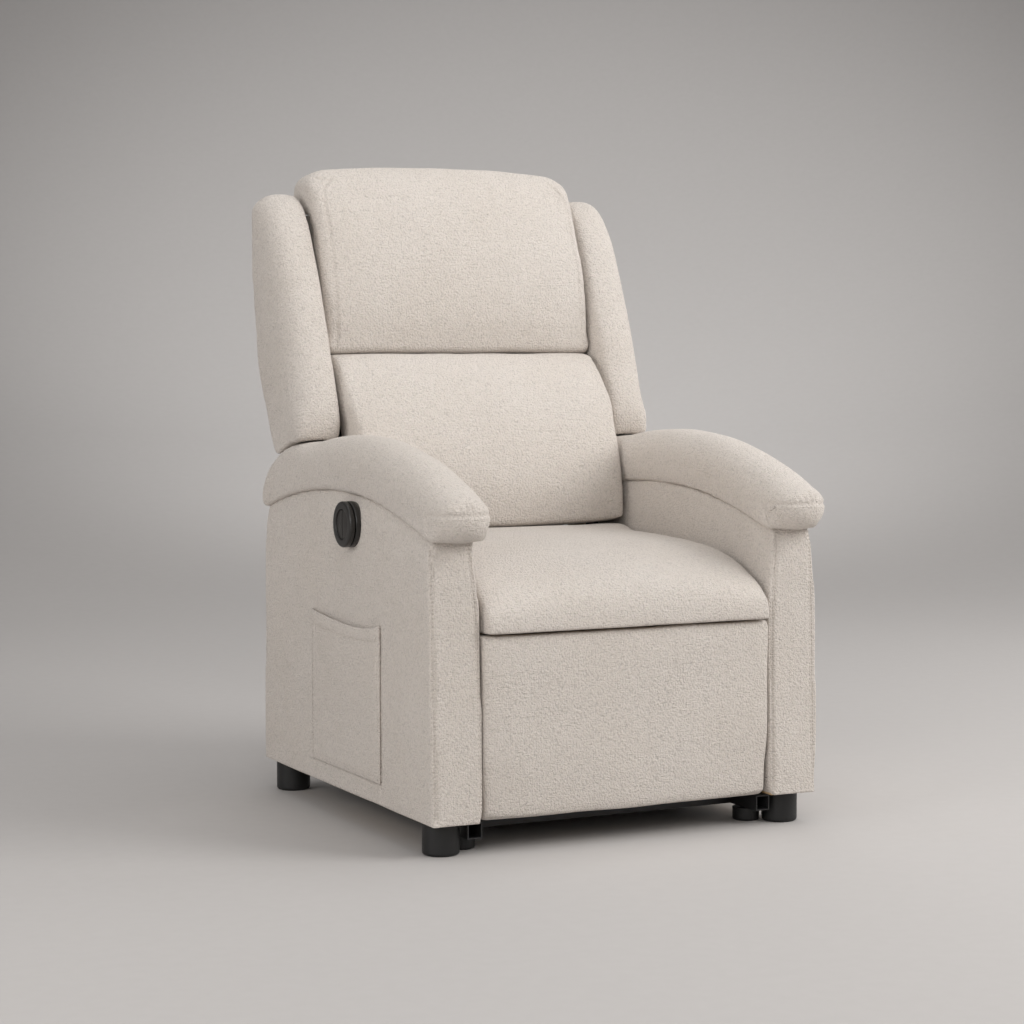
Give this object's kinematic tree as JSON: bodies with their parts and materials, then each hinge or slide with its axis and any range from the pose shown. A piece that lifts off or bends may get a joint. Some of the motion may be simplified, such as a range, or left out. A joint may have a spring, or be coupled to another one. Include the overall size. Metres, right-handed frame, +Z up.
{
  "type": "recliner armchair",
  "caption": "Upholstered wing-back power recliner armchair with padded arms, a folding footrest, a reclining back and a floor base that lifts and tilts it.",
  "frame": {"origin": "on the floor, under the middle of the chair's box at rest", "axes": "+Z up, -Y the way the sitter faces, +X towards the sitter's left hand; the hand control and pocket are on the -X side"},
  "size_m": [0.7075, 0.854, 1.09],
  "materials": {
    "fabric": "matte woven chenille",
    "webbing": "elastic webbing",
    "timber": "raw sawn",
    "black_steel": "satin powder coat",
    "zinc_steel": "zinc plated",
    "black_plastic": "fine moulded grain",
    "control_plastic": "satin",
    "button_plastic": "soft satin"
  },
  "bodies": {
    "base": {"base_rails": "black_steel", "base_cross_tubes": "black_steel", "base_brackets": "black_steel", "base_glides": "black_plastic", "base_pins": "zinc_steel"},
    "lift_arms": {"lift_arms": "black_steel", "lift_cross_tube": "black_steel"},
    "guide_links": {"guide_links": "zinc_steel"},
    "lift_motor": {"lift_motor": "black_plastic"},
    "lift_rod": {"lift_rod": "zinc_steel"},
    "chair": {"carriage_rails": "black_steel", "carriage_brackets": "black_steel", "carriage_cross_tubes": "black_steel", "mechanism_plates": "black_steel", "carriage_pins": "zinc_steel", "frame_bolts": "zinc_steel", "seat_cross_rails": "timber", "seat_side_rails": "timber", "seat_deck": "timber", "seat_springs": "zinc_steel", "seat_cushion": "fabric", "side_frames": "timber", "left_side_cover": "fabric", "right_side_cover": "fabric", "left_arm_pad": "fabric", "right_arm_pad": "fabric", "side_pocket": "fabric", "round_feet": "black_plastic", "rear_panel": "fabric", "switch_housing": "control_plastic", "switch_bezel": "control_plastic", "control_box": "black_plastic", "power_inlet": "black_plastic"},
    "front_button": {"front_button": "button_plastic"},
    "rear_button": {"rear_button": "button_plastic"},
    "back_motor": {"back_motor": "black_plastic"},
    "back_rod": {"back_rod": "zinc_steel"},
    "back": {"recline_brackets": "black_steel", "recline_tube": "black_steel", "back_uprights": "timber", "back_cross_rails": "timber", "back_webbing": "webbing", "lumbar_cushion": "fabric", "head_cushion": "fabric", "left_wing": "fabric", "right_wing": "fabric", "back_panel": "fabric", "back_heel": "fabric", "back_side_panels": "fabric"},
    "swing_links": {"swing_links": "zinc_steel", "knee_rivets": "zinc_steel"},
    "front_links": {"front_links": "zinc_steel", "bell_rivets": "zinc_steel"},
    "rear_links": {"rear_links": "zinc_steel", "torque_tube": "black_steel"},
    "board_links": {"board_links": "zinc_steel"},
    "footrest": {"footrest_brackets": "black_steel", "footrest_board": "timber", "footrest_pad": "fabric"}
  },
  "joints": [
    {"name": "lift", "type": "hinge", "parent": "base", "child": "lift_arms", "pos_m": [0, -0.259, 0.075], "axis": [1, 0, 0], "range_deg": [0, 50]},
    {"name": "lift_guide", "type": "hinge", "parent": "base", "child": "guide_links", "pos_m": [0, -0.2761, 0.122], "axis": [1, 0, 0], "range_deg": [0, 50.5]},
    {"name": "lift_tilt", "type": "hinge", "parent": "lift_arms", "child": "chair", "pos_m": [0, 0.041, 0.11], "axis": [1, 0, 0], "range_deg": [-30.1, 0]},
    {"name": "lift_motor_swing", "type": "hinge", "parent": "base", "child": "lift_motor", "pos_m": [0, 0.261, 0.075], "axis": [1, 0, 0], "range_deg": [0, 4.9]},
    {"name": "lift_rod_slide", "type": "slide", "parent": "lift_motor", "child": "lift_rod", "axis": [0, -0.9866, 0.1633], "range_m": [0, 0.0615]},
    {"name": "recline", "type": "hinge", "parent": "chair", "child": "back", "pos_m": [0, 0.158, 0.351], "axis": [1, 0, 0], "range_deg": [-42, 0]},
    {"name": "back_motor_swing", "type": "hinge", "parent": "chair", "child": "back_motor", "pos_m": [0, -0.159, 0.27], "axis": [1, 0, 0], "range_deg": [-4.5, 0]},
    {"name": "back_rod_slide", "type": "slide", "parent": "back_motor", "child": "back_rod", "axis": [0, 0.9941, 0.1085], "range_m": [-0.043, 0]},
    {"name": "footrest", "type": "hinge", "parent": "chair", "child": "swing_links", "pos_m": [0, -0.2096, 0.268], "axis": [1, 0, 0], "range_deg": [-93, 0]},
    {"name": "footrest_rear", "type": "hinge", "parent": "chair", "child": "rear_links", "pos_m": [0, -0.16, 0.31], "axis": [1, 0, 0], "range_deg": [-82.8, 0]},
    {"name": "footrest_knee", "type": "hinge", "parent": "swing_links", "child": "front_links", "pos_m": [0, -0.2168, 0.0853], "axis": [1, 0, 0], "range_deg": [0, 143.1]},
    {"name": "footrest_guide", "type": "hinge", "parent": "swing_links", "child": "board_links", "pos_m": [0, -0.1923, 0.1132], "axis": [1, 0, 0], "range_deg": [0, 143.4]},
    {"name": "footrest_board", "type": "hinge", "parent": "front_links", "child": "footrest", "pos_m": [0, -0.307, 0.2973], "axis": [1, 0, 0], "range_deg": [-140.1, 0]},
    {"name": "front_button_press", "type": "slide", "parent": "chair", "child": "front_button", "axis": [1, 0, 0], "range_m": [0, 0.0015], "stiffness_N_per_m": 300},
    {"name": "rear_button_press", "type": "slide", "parent": "chair", "child": "rear_button", "axis": [1, 0, 0], "range_m": [0, 0.0015], "stiffness_N_per_m": 300}
  ],
  "couplings": [
    {"joint": "lift_guide", "follows": "lift", "ratio": 1.009},
    {"joint": "lift_tilt", "follows": "lift", "ratio": -0.6},
    {"joint": "lift_motor_swing", "follows": "lift", "ratio": 0.0968},
    {"joint": "lift_rod_slide", "follows": "lift", "m_per_rad": 0.0699},
    {"joint": "back_motor_swing", "follows": "recline", "ratio": 0.1055},
    {"joint": "back_rod_slide", "follows": "recline", "m_per_rad": 0.05798},
    {"joint": "footrest_rear", "follows": "footrest", "ratio": 0.8892},
    {"joint": "footrest_knee", "follows": "footrest", "ratio": -1.5376},
    {"joint": "footrest_guide", "follows": "footrest", "ratio": -1.5409},
    {"joint": "footrest_board", "follows": "footrest", "ratio": 1.5054}
  ]
}
